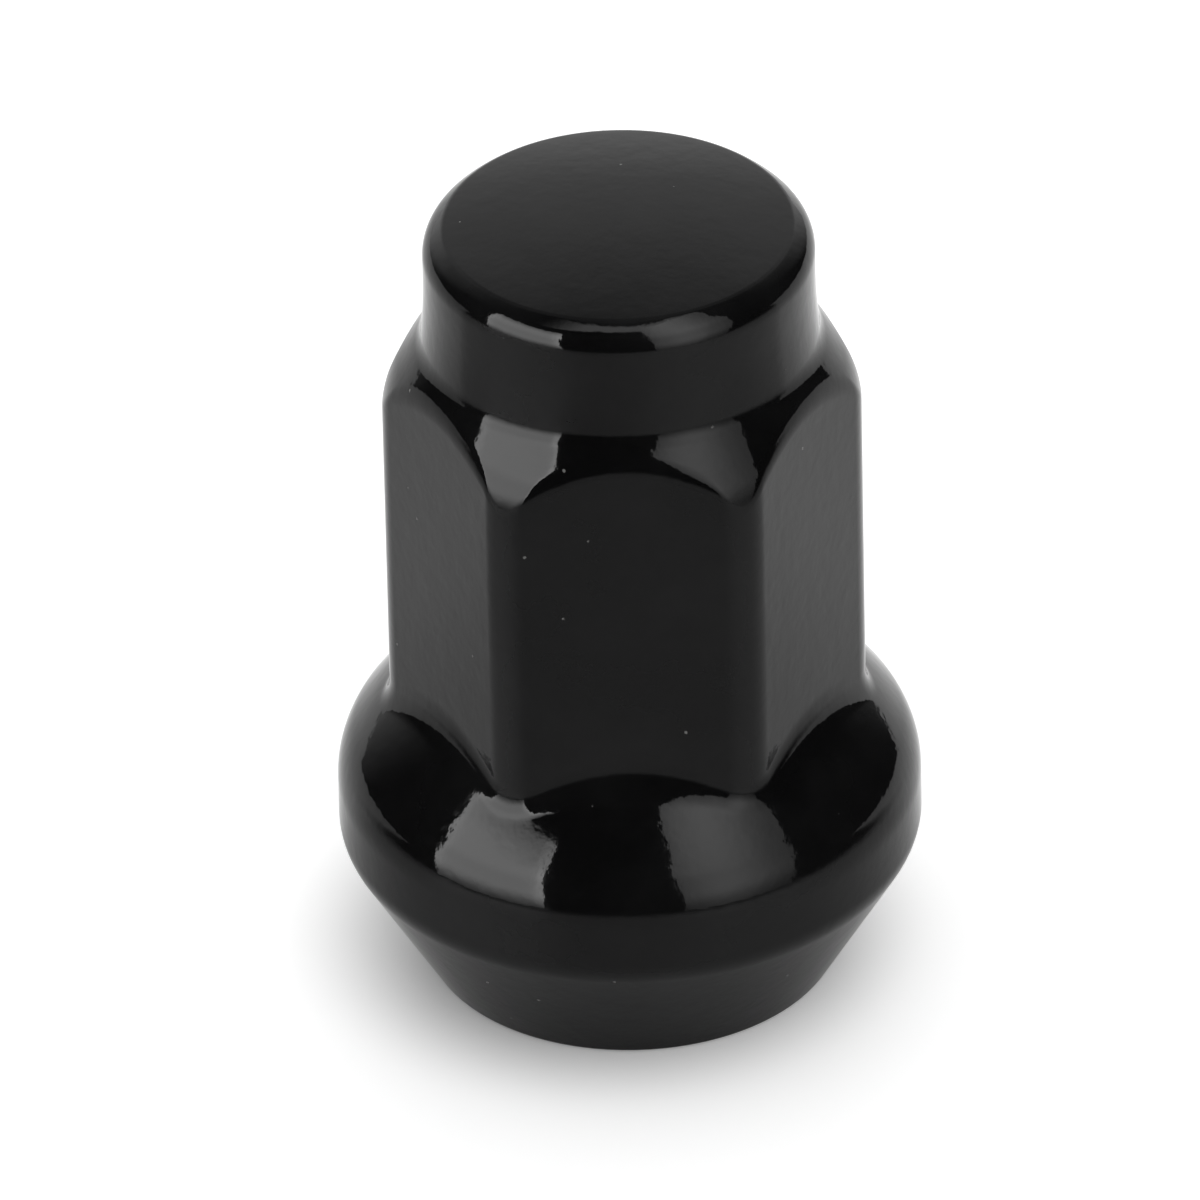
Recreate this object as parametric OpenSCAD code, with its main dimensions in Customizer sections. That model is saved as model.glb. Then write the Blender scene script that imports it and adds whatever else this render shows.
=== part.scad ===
// Closed-end acorn lug nut with a bulge: a round cap, a domed shoulder, a long hexagon,
// a bulged collar and a conical seat around a blind threaded hole.
// The nut stands on its seat end, with the thread's axis on Z and one flat facing -Y.

/* [Hexagon] */
// Width across the flats
hex_af = 19; // [18:0.5:22]
// Radius of the six upright corners
hex_corner_r = 2.5; // [1:0.1:3.5]

/* [Cap and shoulder] */
// Overall height of the nut
nut_h = 38.4; // [36.5:0.1:45]
// Distance by which the round cap's side lies inside the flats
cap_inset = 0.9; // [0.3:0.1:2]
// Radius of the rounding between the cap's side and its chamfer
cap_edge_r = 1.4; // [0.5:0.1:2.5]
// Length of the chamfer's straight slope
cap_chamfer = 0.45; // [0.1:0.05:1]
// Angle between the chamfer's slope and the horizontal
cap_chamfer_angle = 40; // [30:1:55]
// Radius of the rounding between the chamfer and the crown
cap_rim_r = 0.45; // [0.2:0.05:1]
// Radius of the spherical crown on the cap's top
cap_crown_r = 50; // [40:5:200]
// Radius of the hollow fillet between the cap and the shoulder
cap_fillet_r = 1.8; // [0.6:0.1:2.4]
// Distance from the top down to where the corners start to round into the shoulder
shoulder_drop = 10.5; // [9:0.1:14]
// Radius of the shoulder's dome
shoulder_r = 5.7; // [5:0.1:6.5]

/* [Bulge] */
// Largest diameter of the bulge
bulge_d = 26; // [24:0.1:32]
// Height of the bulge's upright belt
belt_h = 1.85; // [0.5:0.05:4]
// Radius of the rounding above the belt
bulge_upper_r = 4; // [2:0.1:5]
// Radius of the rounding below the belt
bulge_lower_r = 1.7; // [1:0.1:2.5]
// Angle between the axis and the conical flank under the hexagon
flank_angle = 37; // [30:1:45]

/* [Seat] */
// Included angle of the conical seat
seat_angle = 60; // [50:1:70]
// Height of the seat, from the base to the bulge
seat_h = 6.05; // [4:0.05:8]
// Distance by which the seat's upper edge lies inside the bulge
seat_inset = 0.45; // [0.2:0.05:1]
// Radius of the rounding around the base
base_edge_r = 0.4; // [0.1:0.1:0.8]

/* [Thread] */
// Diameter of the hole at the crests of the thread
bore_d = 10.4; // [8:0.1:12]
// Depth of the full-width hole
bore_depth = 28; // [20:0.5:30]
// Included angle of the hole's conical bottom
drill_angle = 118; // [90:1:140]
// Diameter of the chamfer at the mouth
mouth_d = 12.8; // [12.2:0.1:14]
// Included angle of the chamfer at the mouth
mouth_angle = 90; // [60:5:120]

/* [Hidden] */
$fn = 96;
flats = 6;
// Length by which a cut or a blank runs past the face that it opens or is trimmed to
past = 1;
// Overlap of a rounding with the faces that it joins, so that they cross cleanly
lap = 0.001;
// Step by which the dome stands outside the corners where it starts
dome_step = 0.03;
half_af = hex_af / 2;
cap_r = half_af - cap_inset;
bulge_r = bulge_d / 2;
bore_r = bore_d / 2;
mouth_r = mouth_d / 2;
// Distance from the axis to the centre of a corner's rounding, and to its outermost line
corner_centre = (half_af - hex_corner_r) / cos(180 / flats);
corner_reach = corner_centre + hex_corner_r;
// Half of the flat stretch between two corners
flat_half = (half_af - hex_corner_r) * tan(180 / flats);
// Height at which the dome starts, and the centre of its arc
shoulder_z = nut_h - shoulder_drop;
dome_r = corner_reach + dome_step;
dome_centre = [dome_r - shoulder_r, shoulder_z];
// Directions along the cap's chamfer, upwards, and square to it, outwards
chamfer_up = [-cos(cap_chamfer_angle), sin(cap_chamfer_angle)];
chamfer_out = [sin(cap_chamfer_angle), cos(cap_chamfer_angle)];
// Centre of the crown, of the rim rounding that touches crown and chamfer, and of the edge rounding below
crown_centre = [0, nut_h - cap_crown_r];
edge_to_rim = chamfer_out * (cap_edge_r - cap_rim_r) + chamfer_up * cap_chamfer;
rim_centre_r = cap_r - cap_edge_r + edge_to_rim[0];
rim_centre = [
    rim_centre_r,
    crown_centre[1] + sqrt(pow(cap_crown_r - cap_rim_r, 2) - pow(rim_centre_r, 2))
];
edge_centre = rim_centre - edge_to_rim;
// Where the rim rounding leaves the crown, and the chamfer the edge rounding
crown_end = crown_centre + (rim_centre - crown_centre) * cap_crown_r / (cap_crown_r - cap_rim_r);
chamfer_start = edge_centre + chamfer_out * cap_edge_r;
// Centre of the hollow fillet, which touches the cap's side and the dome
fillet_centre = [
    cap_r + cap_fillet_r,
    shoulder_z + sqrt(pow(shoulder_r + cap_fillet_r, 2) - pow(cap_r + cap_fillet_r - dome_centre[0], 2))
];
// Edge between the seat and the bulge, the direction of the seat's slope and the radius of the base
seat_edge = [bulge_r - seat_inset, seat_h];
seat_slope = [sin(seat_angle / 2), cos(seat_angle / 2)];
base_r = seat_edge[0] - seat_h * tan(seat_angle / 2);
// Centres of the roundings below and above the belt
lower_centre = [
    bulge_r - bulge_lower_r,
    seat_h + sqrt(pow(bulge_lower_r, 2) - pow(bulge_lower_r - seat_inset, 2))
];
belt_top_z = lower_centre[1] + belt_h;
upper_centre = [bulge_r - bulge_upper_r, belt_top_z];
// Where the seat's slope ends inside the rounding below the belt
seat_end = seat_edge + seat_slope * (seat_slope * (lower_centre - seat_edge));
// Where the rounding above the belt turns into the flank
flank_start = upper_centre + bulge_upper_r * [cos(flank_angle), sin(flank_angle)];
// Where the flank ends inside the hexagon
flank_end = [cap_r, flank_start[1] + (flank_start[0] - cap_r) / tan(flank_angle)];
// Distance from the base's sharp corner to the ends of its rounding
base_cut = base_edge_r * tan(45 - seat_angle / 4);
base_round_centre = [base_r - base_cut, base_edge_r];

// Hexagon with rounded corners, with one flat facing -Y
module rounded_hexagon() {
    intersection() {
        circle(r = half_af / cos(180 / flats), $fn = flats);
        union() {
            for (i = [0 : flats - 1]) {
                rotate(i * 360 / flats + 90)
                    translate([0, -flat_half])
                        square([half_af + past, 2 * flat_half]);
                rotate(i * 360 / flats)
                    translate([corner_centre, 0])
                        circle(r = hex_corner_r + lap);
            }
        }
    }
}

// Half section of the cap: a block with a crowned top and a chamfered edge, rounded above and below
module cap_section() {
    intersection() {
        translate(crown_centre)
            circle(r = cap_crown_r);
        translate([0, shoulder_z])
            square([cap_r, nut_h]);
        translate(chamfer_start)
            rotate(-cap_chamfer_angle)
                translate([-nut_h, -2 * nut_h])
                    square(2 * nut_h);
        union() {
            square([crown_end[0], nut_h + past]);
            square([cap_r + past, edge_centre[1]]);
            polygon([
                edge_centre,
                edge_centre + chamfer_out * (cap_edge_r + past),
                rim_centre + chamfer_out * (cap_rim_r + past),
                rim_centre
            ]);
            translate(rim_centre)
                circle(r = cap_rim_r + lap);
            translate(edge_centre)
                circle(r = cap_edge_r + lap);
        }
    }
}

// Half section of the cap, the hollow fillet and the domed shoulder
module upper_section() {
    cap_section();
    difference() {
        polygon([[0, fillet_centre[1]], fillet_centre, dome_centre, [0, shoulder_z]]);
        translate(fillet_centre)
            circle(r = cap_fillet_r + lap);
    }
    intersection() {
        translate(dome_centre)
            circle(r = shoulder_r);
        translate([0, belt_top_z])
            square([dome_r + past, nut_h - belt_top_z]);
    }
    translate([0, belt_top_z])
        square([dome_r, shoulder_z - belt_top_z]);
}

// Half section of the seat, the belt and the flank
module lower_section() {
    polygon([
        [0, 0],
        [base_round_centre[0], 0],
        [base_r, 0] + seat_slope * base_cut,
        seat_end,
        lower_centre,
        [bulge_r, lower_centre[1]],
        [bulge_r, belt_top_z],
        flank_start,
        flank_end,
        [0, flank_end[1]]
    ]);
    translate(base_round_centre)
        circle(r = base_edge_r);
    translate(lower_centre)
        circle(r = bulge_lower_r);
    translate(upper_centre)
        circle(r = bulge_upper_r);
}

// Blind hole with a drilled bottom and a chamfered mouth
module bore() {
    mouth_spread = tan(mouth_angle / 2);
    rotate_extrude()
        polygon([
            [0, -past],
            [mouth_r + past * mouth_spread, -past],
            [bore_r, (mouth_r - bore_r) / mouth_spread],
            [bore_r, bore_depth],
            [0, bore_depth + bore_r / tan(drill_angle / 2)]
        ]);
}

module nut_body() {
    color([0.04, 0.04, 0.045])
        difference() {
            union() {
                rotate_extrude()
                    lower_section();
                intersection() {
                    translate([0, 0, belt_top_z])
                        linear_extrude(nut_h - belt_top_z + past)
                            rounded_hexagon();
                    rotate_extrude()
                        upper_section();
                }
            }
            bore();
        }
}

nut_body();
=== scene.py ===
"""Looks of the closed-end lug nut: one detailed mesh in gloss black, photographed on a pale floor."""

import math

import bpy
import numpy as np
from mathutils import Matrix, Vector


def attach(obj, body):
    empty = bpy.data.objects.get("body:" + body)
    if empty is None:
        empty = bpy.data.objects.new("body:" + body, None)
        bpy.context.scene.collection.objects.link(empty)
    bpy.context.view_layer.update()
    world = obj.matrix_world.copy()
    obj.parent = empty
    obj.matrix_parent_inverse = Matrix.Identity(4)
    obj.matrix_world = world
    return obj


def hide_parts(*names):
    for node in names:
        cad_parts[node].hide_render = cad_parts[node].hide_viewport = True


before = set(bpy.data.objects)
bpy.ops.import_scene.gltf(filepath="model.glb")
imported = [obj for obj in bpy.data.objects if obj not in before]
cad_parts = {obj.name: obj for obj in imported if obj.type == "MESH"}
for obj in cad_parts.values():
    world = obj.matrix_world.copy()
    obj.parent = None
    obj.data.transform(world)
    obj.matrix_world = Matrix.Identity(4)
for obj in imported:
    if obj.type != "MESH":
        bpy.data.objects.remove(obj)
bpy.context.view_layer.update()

# Lengths are in millimetres, or in metres where a name ends in _M. Angles are in degrees. Those of the
# chamfer, the flare, the shoulder and the flank say how far the surface's normal rises above the horizontal,
# and those of the seat and of the hole's bottom are included angles.
MM = 0.001
FLATS = 6
# Half of the angle that one side of the hexagon spans
HALF_SIDE = 180 / FLATS

# Hexagon
HALF_AF = 9.45
CORNER_R = 2.2
CORNER_CENTRE = (HALF_AF - CORNER_R) / math.cos(math.pi / FLATS)
CORNER_REACH = CORNER_CENTRE + CORNER_R
FLAT_HALF = (HALF_AF - CORNER_R) * math.tan(math.pi / FLATS)

# Cap: a crowned top, a rounded rim, a gently curved chamfer and a rounded lower edge
NUT_H = 38.4
CAP_R = 8.63
CROWN_R = 50.0
RIM_R = 0.45
CHAMFER_R = 4.1
CHAMFER_TOP_ANGLE = 53.5
CHAMFER_FOOT_ANGLE = 47.0
CAP_EDGE_R = 1.42
CAP_FLARE_R = 25.0
CAP_FLARE_ANGLE = 6.0
CAP_FILLET_R = 1.8

# Shoulder: a cone that rounds off into a dome towards the corners
SHOULDER_Z = 28.1
SHOULDER_R = 4.5
SHOULDER_ANGLE = 34.0
SHOULDER_FOOT_R = 10.613
DOME_CENTRE_R = SHOULDER_FOOT_R - SHOULDER_R

# Bulge and seat
BULGE_R = 12.994
BELT_TOP_Z = 9.08
UPPER_R = 4.0
LOWER_R = 2.0
FLANK_FOOT_ANGLE = 36.4
FLANK_R = 22.0
SEAT_ANGLE = 60.0
SEAT_TOP_Z = 6.68
BASE_EDGE_R = 0.4

# Soft roundings where the flats run into the shoulder and into the flank
ARCH_ROUND_R = 2.0
FLAT_FILLET_R = 2.6
CORNER_FILLET_R = 2.0

# Hole and thread
BORE_R = 5.2
BORE_DEPTH = 28.0
DRILL_ANGLE = 118.0
MOUTH_R = 6.4
THREAD_PITCH = 1.5
THREAD_DEPTH = 0.8
THREAD_HALF_ANGLE = 30.0
THREAD_ROOT_HALF = THREAD_PITCH / 16
THREAD_FULL_Z = 23.5
THREAD_END_Z = 25.5

# Mesh density: upright lines, and steps along each stretch of the section
CORNER_COLUMNS = 18
FLAT_COLUMNS = 20
CROWN_STEPS = 20
RIM_STEPS = 8
CHAMFER_STEPS = 8
CAP_EDGE_STEPS = 14
CAP_SIDE_STEPS = 4
CAP_FLARE_STEPS = 8
CAP_FILLET_STEPS = 10
CONE_STEPS = 8
SHOULDER_STEPS = 26
FLAT_STEPS = 20
FOOT_FILLET_STEPS = 14
FLANK_STEPS = 10
UPPER_STEPS = 20
BELT_STEPS = 6
LOWER_STEPS = 10
SEAT_STEPS = 14
BASE_EDGE_STEPS = 8
BASE_STEPS = 8
STATIONS_PER_PITCH = 16
DRILL_STEPS = 10

# A fade is a pair of ranges: where it starts and ends, and the values that it has there.

# Coat. Noise scales are in waves per metre.
COAT_IOR = 1.25
BLACK = (0.0044, 0.0044, 0.0046, 1)
CLOUD_BLACK = (0.0075, 0.0075, 0.0077, 1)
CLOUD_SCALE = 260
CLOUD_FADE = ((0.35, 0.75), (0, 1))
PEEL_SCALE = 900
PEEL_STRENGTH = 0.5
PEEL_DEPTH_M = 0.00002
GRAIN_SCALE = 2200
GRAIN_STRENGTH = 1.0
GRAIN_DEPTH_M = 0.000005
RUBBING_SCALE = 60
RUBBING_STRETCH = 40
ROUGHNESS_FADE = ((0.5, 0.8), (0.05, 0.11))
DUST_COLOUR = (0.18, 0.18, 0.175, 1)
DUST_SCALE = 520
DUST_FADE = ((0.05, 0.075), (1, 0))
RAGGED_SCALE = 12000
RAGGED_SHARE = 0.05

# Floor. Its glow for the camera and in reflections fades with the place on it, in metres, and is painted
# light and shade.
WHITE = (1, 1, 1, 1)
FLOOR_HALF_M = 2.0
FLOOR_Z_M = -0.02 * MM
FLOOR_COLOUR = (0.82, 0.82, 0.82, 1)
FLOOR_ROUGHNESS = 0.5
SHADOW_CENTRE_M = (-0.0015, 0.0015, 0)
# Painted contact shadow that the camera sees round the nut
SEEN_GLOW_PAINTED_SHADOW = ((0.0065, 0.0155), (0.04, 0.46))
# Painted light in reflections of the floor, brighter behind and to the right, with painted shade close to
# the nut
BEHIND_PAINTED_GLOW = ((0.004, 0.016), (0.1, 0.45))
SIDE_PAINTED_GLOW = ((-0.06, 0.06), (-0.13, 0.13))
PAINTED_SHADE_FADE = ((0.007, 0.022), (0.3, 1))
IN_FRONT_FADE = ((0, 0.03), (1, 0))
# Share of a reflection that looks past the floor. It fades with Layer Weight's facing, which is 0 straight
# down and 1 along the floor.
LOW_ANGLE_FADE = ((0.7, 0.88), (0, 1))

# Lights. A panel's glow fades with its elevation, or with the share of the way across it.
LIGHT = 1.15
FLOOR_LIGHT_SIZE_M = 3.0
FLOOR_LIGHT_Z_M = 1.0
FLOOR_LIGHT_WATTS = 37.0
PANEL_STEPS = 24
PANEL_CENTRE_M = (0, 0, 0.02)
PANEL_DISTANCE_M = 0.5
STRIP_DISTANCE_M = 0.55
LEFT_GLOW = 7.2
LEFT_EDGE_WIDTH = 0.07
LEFT_OUTER_EDGE = 0.25
LEFT_INNER_EDGE = 0.5
LEFT_FOOT_FADE = ((-12, 6), (0.2, 1))
LEFT_MIDDLE_FADE = ((15, 27), (1, 1.15))
LEFT_HEAD_FADE = ((30, 41), (1, 0.6))
LEFT_TOP_FADE = ((39, 42), (1, 0.05))
RIGHT_HOT_GLOW = 2.6
RIGHT_HOT_PLACE = 0.4
RIGHT_HOT_WIDTH = 0.42
RIGHT_FOOT_FADE = ((-12, 12), (0.35, 1))
RIGHT_HEAD_FADE = ((25, 45), (1, 1.3))
STRIP_GLOW = 2.9
STRIP_START_FADE = ((0, 0.28), (0, 1))
STRIP_END_FADE = ((0.7, 1), (1, 0.4))
STRIP_LOWER_EDGE = ((0.1, 0.35), (51.5, 59.5))
STRIP_EDGE_WIDTH = 2.5
STRIP_TOP_FADE = ((67, 70), (1, 0))

# Room. The wall's edge leans, so that it reaches further round overhead, and further on the left.
WALL_LEAN = 0.73
WALL_LEFT_SHIFT = ((-0.1, 0.1), (9, 0))
WALL_EDGE_FADE = ((130, 168), (0, 1))
WALL_FOOT_FADE = ((14, 28), (1.1, 0.84))
WALL_HEAD_FADE = ((34, 58), (1, 0.35))
CEILING_FADE = ((66, 76), (0, 0.28))
ROOM_GLOW = 0.03


def cos_deg(angle):
    return np.cos(np.radians(angle))


def sin_deg(angle):
    return np.sin(np.radians(angle))


def tan_deg(angle):
    return math.tan(math.radians(angle))


def eased(count):
    """Steps from 0 to 1, the start left out, that lie closer together at both ends."""
    return 0.5 - 0.5 * np.cos(np.pi * np.arange(1, count + 1) / count)


def hexagon_columns():
    """Angle and radius of the rounded hexagon's outline at each upright line of the mesh."""
    angles = []
    radii = []

    def add(x, y):
        angles.append(math.atan2(y, x))
        radii.append(math.hypot(x, y))

    for side in range(FLATS):
        corner = side * 2 * HALF_SIDE
        flat = corner + HALF_SIDE
        for step in range(CORNER_COLUMNS):
            lean = corner - HALF_SIDE + 2 * HALF_SIDE * step / CORNER_COLUMNS
            x = CORNER_CENTRE * cos_deg(corner) + CORNER_R * cos_deg(lean)
            y = CORNER_CENTRE * sin_deg(corner) + CORNER_R * sin_deg(lean)
            add(x, y)
        for share in np.concatenate([[0], eased(FLAT_COLUMNS)[:-1]]):
            along = FLAT_HALF * (2 * share - 1)
            x = HALF_AF * cos_deg(flat) - along * sin_deg(flat)
            y = HALF_AF * sin_deg(flat) + along * cos_deg(flat)
            add(x, y)
    return np.array(angles), np.array(radii)


class Section:
    """Half section of the nut, drawn downwards, with one point per column at each station."""

    def __init__(self, columns):
        self.columns = columns
        self.points = []

    def add(self, r, z):
        self.points.append((np.broadcast_to(r, self.columns), np.broadcast_to(z, self.columns)))

    def arc(self, centre, radius, first, last, steps):
        for step in range(1, steps + 1):
            angle = first + (last - first) * step / steps
            self.add(centre[0] + radius * cos_deg(angle), centre[1] + radius * sin_deg(angle))

    def line(self, end, steps):
        start = self.points[-1]
        for share in eased(steps):
            self.add(start[0] + (end[0] - start[0]) * share, start[1] + (end[1] - start[1]) * share)


def outer_section(hex_r):
    """The nut's outside, from beside the centre of the crown to the mouth of the hole."""
    section = Section(len(hex_r))

    # Cap, whose arcs follow each other without a kink
    edge_centre_r = CAP_R - CAP_EDGE_R
    chamfer_shift = CHAMFER_R - CAP_EDGE_R
    rim_shift = CHAMFER_R - RIM_R
    chamfer_centre_r = edge_centre_r - chamfer_shift * cos_deg(CHAMFER_FOOT_ANGLE)
    rim_centre_r = chamfer_centre_r + rim_shift * cos_deg(CHAMFER_TOP_ANGLE)
    crown_foot = 90 - math.degrees(math.asin(rim_centre_r / (CROWN_R - RIM_R)))
    crown_centre_z = NUT_H - CROWN_R
    rim_centre_z = crown_centre_z + (CROWN_R - RIM_R) * sin_deg(crown_foot)
    chamfer_centre_z = rim_centre_z - rim_shift * sin_deg(CHAMFER_TOP_ANGLE)
    edge_centre_z = chamfer_centre_z + chamfer_shift * sin_deg(CHAMFER_FOOT_ANGLE)
    chamfer_centre = (chamfer_centre_r, chamfer_centre_z)
    section.arc((0, crown_centre_z), CROWN_R, 90, crown_foot, CROWN_STEPS)
    section.arc((rim_centre_r, rim_centre_z), RIM_R, crown_foot, CHAMFER_TOP_ANGLE, RIM_STEPS)
    section.arc(chamfer_centre, CHAMFER_R, CHAMFER_TOP_ANGLE, CHAMFER_FOOT_ANGLE, CHAMFER_STEPS)
    section.arc((edge_centre_r, edge_centre_z), CAP_EDGE_R, CHAMFER_FOOT_ANGLE, 0, CAP_EDGE_STEPS)

    # Cap side, which flares a little and runs through a hollow fillet into the shoulder's cone
    lean_cos = cos_deg(SHOULDER_ANGLE)
    lean_sin = sin_deg(SHOULDER_ANGLE)
    cone_level = DOME_CENTRE_R * lean_cos + SHOULDER_Z * lean_sin + SHOULDER_R
    flare_r = CAP_R + CAP_FLARE_R
    flare_foot = 180 + CAP_FLARE_ANGLE
    fillet_foot = 180 + SHOULDER_ANGLE
    fillet_r = flare_r - (CAP_FLARE_R - CAP_FILLET_R) * cos_deg(CAP_FLARE_ANGLE)
    fillet_z = (cone_level + CAP_FILLET_R - fillet_r * lean_cos) / lean_sin
    flare_z = fillet_z + (CAP_FLARE_R - CAP_FILLET_R) * sin_deg(CAP_FLARE_ANGLE)
    section.line((CAP_R, flare_z), CAP_SIDE_STEPS)
    section.arc((flare_r, flare_z), CAP_FLARE_R, 180, flare_foot, CAP_FLARE_STEPS)
    section.arc((fillet_r, fillet_z), CAP_FILLET_R, flare_foot, fillet_foot, CAP_FILLET_STEPS)

    # Cone, which ends at the dome near the corners and at the flats' soft edge between them
    round_r = hex_r - ARCH_ROUND_R
    dome_reach = SHOULDER_R - ARCH_ROUND_R
    dome_rise = np.sqrt(np.maximum(dome_reach ** 2 - (round_r - DOME_CENTRE_R) ** 2, 0))
    dome_end = np.degrees(np.arctan2(dome_rise, round_r - DOME_CENTRE_R))
    meets_dome = dome_end < SHOULDER_ANGLE
    cone_rise = (cone_level - ARCH_ROUND_R - round_r * lean_cos) / lean_sin - SHOULDER_Z
    round_z = SHOULDER_Z + np.where(meets_dome, dome_rise, cone_rise)
    round_start = np.where(meets_dome, dome_end, SHOULDER_ANGLE)

    def below_cone(lean):
        """Point on the dome or on the soft edge whose surface leans by this angle."""
        on_round = lean <= round_start
        centre_r = np.where(on_round, round_r, DOME_CENTRE_R)
        centre_z = np.where(on_round, round_z, SHOULDER_Z)
        radius = np.where(on_round, ARCH_ROUND_R, SHOULDER_R)
        return centre_r + radius * cos_deg(lean), centre_z + radius * sin_deg(lean)

    section.line(below_cone(SHOULDER_ANGLE), CONE_STEPS)
    for lean in SHOULDER_ANGLE * (1 - np.arange(1, SHOULDER_STEPS + 1) / SHOULDER_STEPS):
        section.add(*below_cone(lean))

    # Flat, the hollow fillet under it, the gently rounded flank and the bulge
    upper_centre = (BULGE_R - UPPER_R, BELT_TOP_Z)
    flank_shift = FLANK_R - UPPER_R
    flank_centre_r = upper_centre[0] - flank_shift * cos_deg(FLANK_FOOT_ANGLE)
    flank_centre_z = upper_centre[1] - flank_shift * sin_deg(FLANK_FOOT_ANGLE)
    corner_share = (hex_r - HALF_AF) / (CORNER_REACH - HALF_AF)
    foot_fillet_r = FLAT_FILLET_R + (CORNER_FILLET_R - FLAT_FILLET_R) * corner_share
    hollow_r = hex_r + foot_fillet_r
    hollow_rise = np.sqrt((FLANK_R + foot_fillet_r) ** 2 - (hollow_r - flank_centre_r) ** 2)
    hollow_z = flank_centre_z + hollow_rise
    flank_head = np.degrees(np.arctan2(hollow_rise, hollow_r - flank_centre_r))
    section.line((hex_r, hollow_z), FLAT_STEPS)
    section.arc((hollow_r, hollow_z), foot_fillet_r, 180, 180 + flank_head, FOOT_FILLET_STEPS)
    section.arc((flank_centre_r, flank_centre_z), FLANK_R, flank_head, FLANK_FOOT_ANGLE, FLANK_STEPS)
    section.arc(upper_centre, UPPER_R, FLANK_FOOT_ANGLE, 0, UPPER_STEPS)

    # Belt, the rounding below it, the conical seat and the base
    half_seat = SEAT_ANGLE / 2
    lower_z = SEAT_TOP_Z + LOWER_R * tan_deg(half_seat / 2)
    base_r = BULGE_R - SEAT_TOP_Z * tan_deg(half_seat)
    base_cut = BASE_EDGE_R * tan_deg(45 - half_seat / 2)
    seat_foot = (base_r + base_cut * sin_deg(half_seat), base_cut * cos_deg(half_seat))
    section.line((BULGE_R, lower_z), BELT_STEPS)
    section.arc((BULGE_R - LOWER_R, lower_z), LOWER_R, 0, -half_seat, LOWER_STEPS)
    section.line(seat_foot, SEAT_STEPS)
    section.arc((base_r - base_cut, BASE_EDGE_R), BASE_EDGE_R, -half_seat, -90, BASE_EDGE_STEPS)
    section.line((MOUTH_R, 0), BASE_STEPS)
    return np.array(section.points)


def thread_radius(angle, z):
    """Radius of the hole's wall: a right-hand thread that fades out above and is chamfered at the mouth."""
    phase = np.mod(z / THREAD_PITCH - angle / (2 * math.pi), 1.0)
    from_root = np.abs(phase - 0.5) * THREAD_PITCH
    depth = THREAD_DEPTH - (from_root - THREAD_ROOT_HALF) / tan_deg(THREAD_HALF_ANGLE)
    depth = np.clip(depth, 0, THREAD_DEPTH)
    fade = np.clip((THREAD_END_Z - z) / (THREAD_END_Z - THREAD_FULL_Z), 0, 1)
    return np.maximum(BORE_R + depth * fade, MOUTH_R - z)


def nut_mesh():
    """Vertices in metres and faces of the whole nut, closed all round."""
    angles, hex_r = hexagon_columns()
    columns = len(angles)
    section = outer_section(hex_r)
    vertices = [(0, 0, NUT_H)]
    faces = []

    def add_ring(ring_angles, r, z):
        first = len(vertices)
        x = r * np.cos(ring_angles)
        y = r * np.sin(ring_angles)
        vertices.extend(zip(x, y, np.broadcast_to(z, x.shape)))
        return [first + i for i in range(len(x))]

    def join(upper, lower):
        for i in range(len(upper)):
            k = (i + 1) % len(upper)
            faces.append((upper[i], lower[i], lower[k], upper[k]))

    rings = [add_ring(angles, r, z) for r, z in section]
    for i in range(columns):
        faces.append((0, rings[0][i], rings[0][(i + 1) % columns]))
    for upper, lower in zip(rings[:-1], rings[1:]):
        join(upper, lower)

    # The hole has half as many columns, so each of its first faces spans two of the base's
    bore_angles = angles[::2]
    bore_columns = len(bore_angles)
    step = THREAD_PITCH / STATIONS_PER_PITCH
    levels = np.append(np.arange(step, BORE_DEPTH, step), BORE_DEPTH)
    bore = [add_ring(bore_angles, thread_radius(bore_angles, z), z) for z in levels]
    outer = rings[-1]
    for i in range(bore_columns):
        k = (i + 1) % bore_columns
        left = outer[2 * i]
        middle = outer[2 * i + 1]
        right = outer[2 * k]
        faces.append((left, bore[0][i], middle))
        faces.append((middle, bore[0][i], bore[0][k]))
        faces.append((middle, bore[0][k], right))
    for lower, upper in zip(bore[:-1], bore[1:]):
        join(lower, upper)

    # Drilled bottom
    tip_rise = BORE_R / tan_deg(DRILL_ANGLE / 2)
    cone = [bore[-1]]
    for share in eased(DRILL_STEPS)[:-1]:
        cone.append(add_ring(bore_angles, BORE_R * (1 - share), BORE_DEPTH + tip_rise * share))
        join(cone[-2], cone[-1])
    tip = len(vertices)
    vertices.append((0, 0, BORE_DEPTH + tip_rise))
    for i in range(bore_columns):
        faces.append((cone[-1][i], tip, cone[-1][(i + 1) % bore_columns]))
    return np.array(vertices) * MM, faces


def add_object(name, data):
    """New object in the scene."""
    thing = bpy.data.objects.new(name, data)
    bpy.context.scene.collection.objects.link(thing)
    return thing


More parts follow.
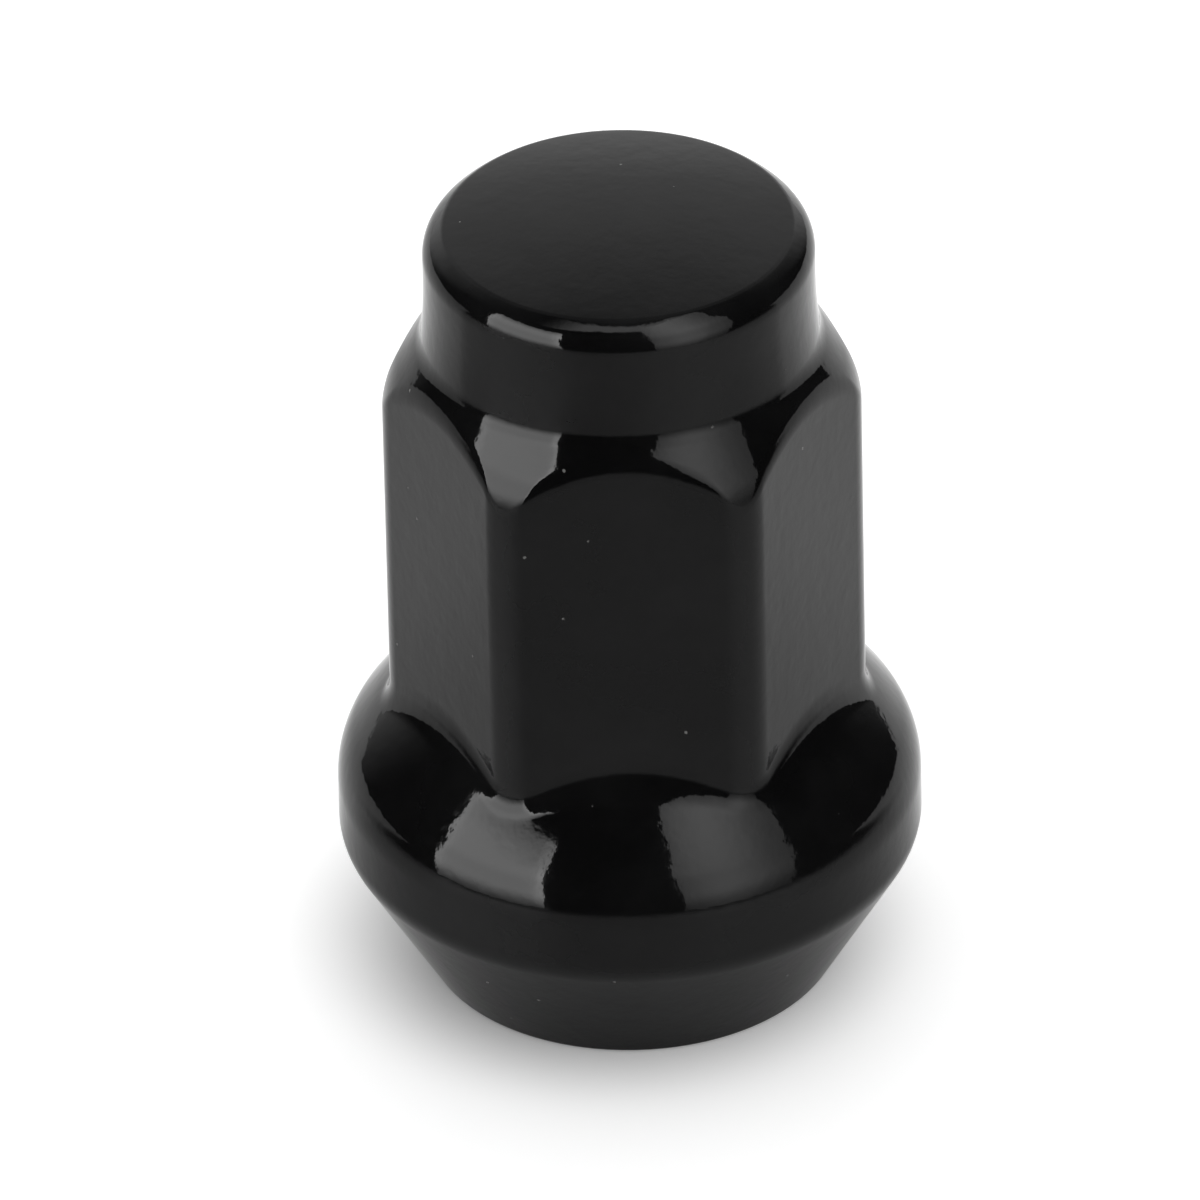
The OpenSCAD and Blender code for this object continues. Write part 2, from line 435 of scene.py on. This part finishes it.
class Wiring:
    """Short calls for adding nodes to a material's or a world's node tree."""

    def __init__(self, owner):
        owner.use_nodes = True
        self.nodes = owner.node_tree.nodes
        self.links = owner.node_tree.links

    def add(self, kind, **links):
        node = self.nodes.new(kind)
        for socket, source in links.items():
            self.links.new(source, node.inputs[socket])
        return node

    def math(self, operation, *inputs):
        node = self.nodes.new("ShaderNodeMath")
        node.operation = operation
        for socket, value in zip(node.inputs, inputs):
            if isinstance(value, (int, float)):
                socket.default_value = value
            else:
                self.links.new(value, socket)
        return node.outputs["Value"]

    def multiply(self, first, second):
        return self.math("MULTIPLY", first, second)

    def fade(self, value, span, values):
        """Smooth step of a value over a span, from the first of two values to the second."""
        node = self.add("ShaderNodeMapRange", Value=value)
        node.interpolation_type = "SMOOTHSTEP"
        node.inputs["From Min"].default_value = span[0]
        node.inputs["From Max"].default_value = span[1]
        node.inputs["To Min"].default_value = values[0]
        node.inputs["To Max"].default_value = values[1]
        return node.outputs["Result"]

    def noise(self, place, scale, detail):
        node = self.add("ShaderNodeTexNoise", Vector=place)
        node.inputs["Scale"].default_value = scale
        node.inputs["Detail"].default_value = detail
        return node.outputs["Fac"]

    def bump(self, strength, depth, **links):
        node = self.add("ShaderNodeBump", **links)
        node.inputs["Strength"].default_value = strength
        node.inputs["Distance"].default_value = depth
        return node.outputs["Normal"]

    def blend(self, share, low, high):
        """Mix of two colours. The first may come from another node."""
        node = self.add("ShaderNodeMix", Factor=share)
        node.data_type = "RGBA"
        if isinstance(low, tuple):
            node.inputs["A"].default_value = low
        else:
            self.links.new(low, node.inputs["A"])
        node.inputs["B"].default_value = high
        return node.outputs["Result"]


def black_coat():
    """Gloss black coat: slightly wavy, with cloudy and rubbed patches and a little dust."""
    material = bpy.data.materials.new("black_coat")
    wiring = Wiring(material)
    shader = wiring.nodes["Principled BSDF"]
    shader.inputs["IOR"].default_value = COAT_IOR
    place = wiring.add("ShaderNodeTexCoord").outputs["Object"]

    # Orange peel of the sprayed coat, with a finer grain on it
    waves = wiring.noise(place, PEEL_SCALE, detail=2)
    peel = wiring.bump(PEEL_STRENGTH, PEEL_DEPTH_M, Height=waves)
    fine_waves = wiring.noise(place, GRAIN_SCALE, detail=2)
    grain = wiring.bump(GRAIN_STRENGTH, GRAIN_DEPTH_M, Height=fine_waves, Normal=peel)
    wiring.links.new(grain, shader.inputs["Normal"])

    # Fine upright rubbing marks dull the gloss a little
    upright = wiring.add("ShaderNodeMapping", Vector=place)
    upright.inputs["Scale"].default_value = (RUBBING_STRETCH, RUBBING_STRETCH, 1)
    rubbing = wiring.noise(upright.outputs["Vector"], RUBBING_SCALE, detail=3)
    wiring.links.new(wiring.fade(rubbing, *ROUGHNESS_FADE), shader.inputs["Roughness"])

    # Cloudy black with pale specks of dust
    clouds = wiring.noise(place, CLOUD_SCALE, detail=4)
    cloudy = wiring.blend(wiring.fade(clouds, *CLOUD_FADE), BLACK, CLOUD_BLACK)
    specks = wiring.add("ShaderNodeTexVoronoi", Vector=place)
    specks.inputs["Scale"].default_value = DUST_SCALE
    rough_edge = wiring.noise(place, RAGGED_SCALE, detail=1)
    ragged = wiring.math("MULTIPLY_ADD", rough_edge, RAGGED_SHARE, specks.outputs["Distance"])
    dusted = wiring.blend(wiring.fade(ragged, *DUST_FADE), cloudy, DUST_COLOUR)
    wiring.links.new(dusted, shader.inputs["Base Color"])
    return material


def make_nut():
    vertices, faces = nut_mesh()
    mesh = bpy.data.meshes.new("lug_nut")
    mesh.from_pydata(vertices.tolist(), [], faces)
    mesh.validate()
    mesh.shade_smooth()
    mesh.materials.append(black_coat())
    return add_object("lug_nut", mesh)


def floor_material():
    """Pale satin floor.

    A glow of its own whitens it for the camera and in reflections, but not close to the nut, where the
    fading glow is a painted contact shadow; in reflections the glow is painted light, brighter behind and to
    the right.
    """
    material = bpy.data.materials.new("pale_floor")
    wiring = Wiring(material)
    shader = wiring.nodes["Principled BSDF"]
    shader.inputs["Base Color"].default_value = FLOOR_COLOUR
    shader.inputs["Roughness"].default_value = FLOOR_ROUGHNESS
    shader.inputs["Emission Color"].default_value = WHITE
    place = wiring.add("ShaderNodeTexCoord").outputs["Object"]
    split = wiring.add("ShaderNodeSeparateXYZ", Vector=place)
    ray = wiring.add("ShaderNodeLightPath")
    glossy = ray.outputs["Is Glossy Ray"]
    facing = wiring.add("ShaderNodeLayerWeight").outputs["Facing"]
    offset = wiring.add("ShaderNodeVectorMath", Vector=place)
    offset.operation = "DISTANCE"
    offset.inputs[1].default_value = SHADOW_CENTRE_M
    distance = offset.outputs["Value"]

    # Painted contact shadow: the camera sees white all round it, and the glow fades out close to the nut
    seen_painted_shadow = wiring.multiply(wiring.fade(distance, *SEEN_GLOW_PAINTED_SHADOW), ray.outputs["Is Camera Ray"])

    # Painted light in reflections: more glow behind and to the right, and painted shade close to the nut
    behind = wiring.fade(split.outputs["Y"], *BEHIND_PAINTED_GLOW)
    sideways = wiring.fade(split.outputs["X"], *SIDE_PAINTED_GLOW)
    painted_reflection_glow = wiring.math("ADD", behind, sideways)
    painted_reflection_glow = wiring.multiply(painted_reflection_glow, wiring.fade(distance, *PAINTED_SHADE_FADE))
    painted_reflection_glow = wiring.multiply(painted_reflection_glow, glossy)
    wiring.links.new(wiring.math("ADD", seen_painted_shadow, painted_reflection_glow), shader.inputs["Emission Strength"])

    # In front, reflections at a low angle look past the floor, as they would beyond its edge
    low_angle = wiring.fade(facing, *LOW_ANGLE_FADE)
    in_front = wiring.fade(split.outputs["Y"], *IN_FRONT_FADE)
    past_edge = wiring.multiply(wiring.multiply(low_angle, in_front), glossy)
    surface = wiring.add("ShaderNodeMixShader", Fac=past_edge)
    wiring.links.new(shader.outputs["BSDF"], surface.inputs[1])
    wiring.links.new(wiring.add("ShaderNodeBsdfTransparent").outputs["BSDF"], surface.inputs[2])
    wiring.links.new(surface.outputs["Shader"], wiring.nodes["Material Output"].inputs["Surface"])
    return material


def make_floor():
    signs = [(-1, -1), (1, -1), (1, 1), (-1, 1)]
    corners = [(x * FLOOR_HALF_M, y * FLOOR_HALF_M, FLOOR_Z_M) for x, y in signs]
    mesh = bpy.data.meshes.new("floor")
    mesh.from_pydata(corners, [], [(0, 1, 2, 3)])
    mesh.materials.append(floor_material())
    add_object("floor", mesh)


def direction(azimuth, elevation):
    """Unit vector. Azimuth 0 is the camera's side, and 90 is +X."""
    flat = cos_deg(elevation)
    return Vector((flat * sin_deg(azimuth), -flat * cos_deg(azimuth), sin_deg(elevation)))


def glow_material():
    """Light whose strength is written at each point of a panel's mesh."""
    material = bpy.data.materials.new("panel_glow")
    wiring = Wiring(material)
    wiring.nodes.remove(wiring.nodes["Principled BSDF"])
    strength = wiring.add("ShaderNodeAttribute")
    strength.attribute_name = "glow"
    emission = wiring.add("ShaderNodeEmission", Strength=strength.outputs["Fac"])
    wiring.links.new(emission.outputs["Emission"], wiring.nodes["Material Output"].inputs["Surface"])
    return material


def panel(name, material, distance, left, right, bottom, top, glow):
    """Curved light panel round the nut, from one elevation to another.

    Its sides lean: each is a pair of azimuths, at the bottom and at the top.
    """
    centre = Vector(PANEL_CENTRE_M)
    row_length = PANEL_STEPS + 1
    vertices = []
    values = []
    faces = []
    for j in range(row_length):
        rise = j / PANEL_STEPS
        elevation = bottom + (top - bottom) * rise
        start = left[0] + (left[1] - left[0]) * rise
        end = right[0] + (right[1] - right[0]) * rise
        for i in range(row_length):
            across = i / PANEL_STEPS
            azimuth = start + (end - start) * across
            vertices.append(centre + direction(azimuth, elevation) * distance)
            values.append(LIGHT * glow(across, elevation))
    for j in range(PANEL_STEPS):
        for i in range(PANEL_STEPS):
            first = j * row_length + i
            faces.append((first, first + 1, first + row_length + 1, first + row_length))
    mesh = bpy.data.meshes.new(name)
    mesh.from_pydata(vertices, [], faces)
    attribute = mesh.attributes.new("glow", "FLOAT", "POINT")
    attribute.data.foreach_set("value", values)
    mesh.materials.append(material)
    light = add_object(name, mesh)
    light.visible_camera = False
    light.visible_diffuse = False


def fade(value, span, values):
    """Smooth step of a value over a span, from the first of two values to the second."""
    share = min(max((value - span[0]) / (span[1] - span[0]), 0), 1)
    return values[0] + (values[1] - values[0]) * share * share * (3 - 2 * share)


def bell(value, middle, width):
    """Bell curve with a height of 1."""
    return math.exp(-((value - middle) / width) ** 2)


def left_glow(across, elevation):
    """The brightest panel, with brighter sides, a dark foot and a head that fades out."""
    outer_edge = LEFT_OUTER_EDGE * bell(across, 0, LEFT_EDGE_WIDTH)
    inner_edge = LEFT_INNER_EDGE * bell(across, 1, LEFT_EDGE_WIDTH)
    foot = fade(elevation, *LEFT_FOOT_FADE) * fade(elevation, *LEFT_MIDDLE_FADE)
    head = fade(elevation, *LEFT_HEAD_FADE) * fade(elevation, *LEFT_TOP_FADE)
    return LEFT_GLOW * (1 + outer_edge + inner_edge) * foot * head


def right_glow(across, elevation):
    """A panel that is brightest left of its middle and grows brighter upwards."""
    hot = RIGHT_HOT_GLOW * bell(across, RIGHT_HOT_PLACE, RIGHT_HOT_WIDTH)
    return (1 + hot) * fade(elevation, *RIGHT_FOOT_FADE) * fade(elevation, *RIGHT_HEAD_FADE)


def strip_glow(across, elevation):
    """A strip that fades towards its ends and reaches lower down at the left one."""
    ends = fade(across, *STRIP_START_FADE) * fade(across, *STRIP_END_FADE)
    lower_edge = fade(across, *STRIP_LOWER_EDGE)
    bottom = fade(elevation, (lower_edge, lower_edge + STRIP_EDGE_WIDTH), (0, 1))
    return STRIP_GLOW * bottom * fade(elevation, *STRIP_TOP_FADE) * ends


def make_panels():
    """Light panels on both sides, and a strip above that stands a little further away."""
    material = glow_material()
    panel("panel_left", material, PANEL_DISTANCE_M,
          left=(-76, -82), right=(-31, -36.5), bottom=-11, top=42, glow=left_glow)
    panel("panel_right", material, PANEL_DISTANCE_M,
          left=(19.5, 15), right=(59.5, 74), bottom=-11, top=66, glow=right_glow)
    panel("panel_above", material, STRIP_DISTANCE_M,
          left=(-66, -66), right=(75, 75), bottom=50, top=70.5, glow=strip_glow)


def floor_light():
    """Broad light from above that whitens the floor. The coat doesn't mirror it."""
    light = bpy.data.lights.new("floor_light", "AREA")
    light.size = FLOOR_LIGHT_SIZE_M
    light.energy = FLOOR_LIGHT_WATTS
    lamp = add_object("floor_light", light)
    lamp.location = (0, 0, FLOOR_LIGHT_Z_M)
    lamp.visible_camera = False
    lamp.visible_glossy = False


def studio_world():
    """White wall behind that reaches round overhead, a grey ceiling, and dark sides and front."""
    world = bpy.data.worlds.new("studio")
    bpy.context.scene.world = world
    world.cycles_visibility.diffuse = False
    wiring = Wiring(world)
    place = wiring.add("ShaderNodeTexCoord").outputs["Generated"]
    split = wiring.add("ShaderNodeSeparateXYZ", Vector=place)
    sideways = split.outputs["X"]
    towards = wiring.multiply(split.outputs["Y"], -1.0)
    turn = wiring.math("ARCTAN2", sideways, towards)
    azimuth = wiring.math("DEGREES", wiring.math("ABSOLUTE", turn))
    elevation = wiring.math("DEGREES", wiring.math("ARCSINE", split.outputs["Z"]))
    wall_edge = wiring.math("MULTIPLY_ADD", elevation, WALL_LEAN, azimuth)
    wall_edge = wiring.math("ADD", wall_edge, wiring.fade(sideways, *WALL_LEFT_SHIFT))
    wall = wiring.fade(wall_edge, *WALL_EDGE_FADE)
    wall = wiring.multiply(wall, wiring.fade(elevation, *WALL_FOOT_FADE))
    wall = wiring.multiply(wall, wiring.fade(elevation, *WALL_HEAD_FADE))
    ceiling = wiring.fade(elevation, *CEILING_FADE)
    room = wiring.math("ADD", wiring.math("MAXIMUM", wall, ceiling), ROOM_GLOW)
    background = wiring.nodes["Background"]
    background.inputs["Color"].default_value = WHITE
    wiring.links.new(wiring.multiply(room, LIGHT), background.inputs["Strength"])


def make_camera():
    """Long lens at the photograph's angle, which puts the nut at the photograph's place in the frame."""
    elevation = 33.677
    roll = -1.264
    scale_px = 22.555
    distance = 962.5
    image_px = 1200
    aim_px = (626.43, 619.126)
    aim = Vector((0, 0, 17.0))
    back = Vector((0, -cos_deg(elevation), sin_deg(elevation)))
    level = Vector((1, 0, 0))
    upright = back.cross(level)
    right = level * cos_deg(roll) + upright * sin_deg(roll)
    up = upright * cos_deg(roll) - level * sin_deg(roll)
    to_left = (aim_px[0] - image_px / 2) / scale_px
    upwards = (aim_px[1] - image_px / 2) / scale_px
    place = aim + back * distance - right * to_left + up * upwards
    data = bpy.data.cameras.new("camera")
    data.sensor_width = 36
    data.lens = scale_px * distance / image_px * data.sensor_width
    data.clip_end = 10
    camera = add_object("camera", data)
    turn = Matrix((right, up, back)).transposed()
    camera.matrix_world = Matrix.Translation(place * MM) @ turn.to_4x4()
    bpy.context.scene.camera = camera


nut = make_nut()
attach(nut, "root")
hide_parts("nut_body")

make_floor()
make_panels()
floor_light()
studio_world()
make_camera()
bpy.context.scene.view_settings.view_transform = "Standard"
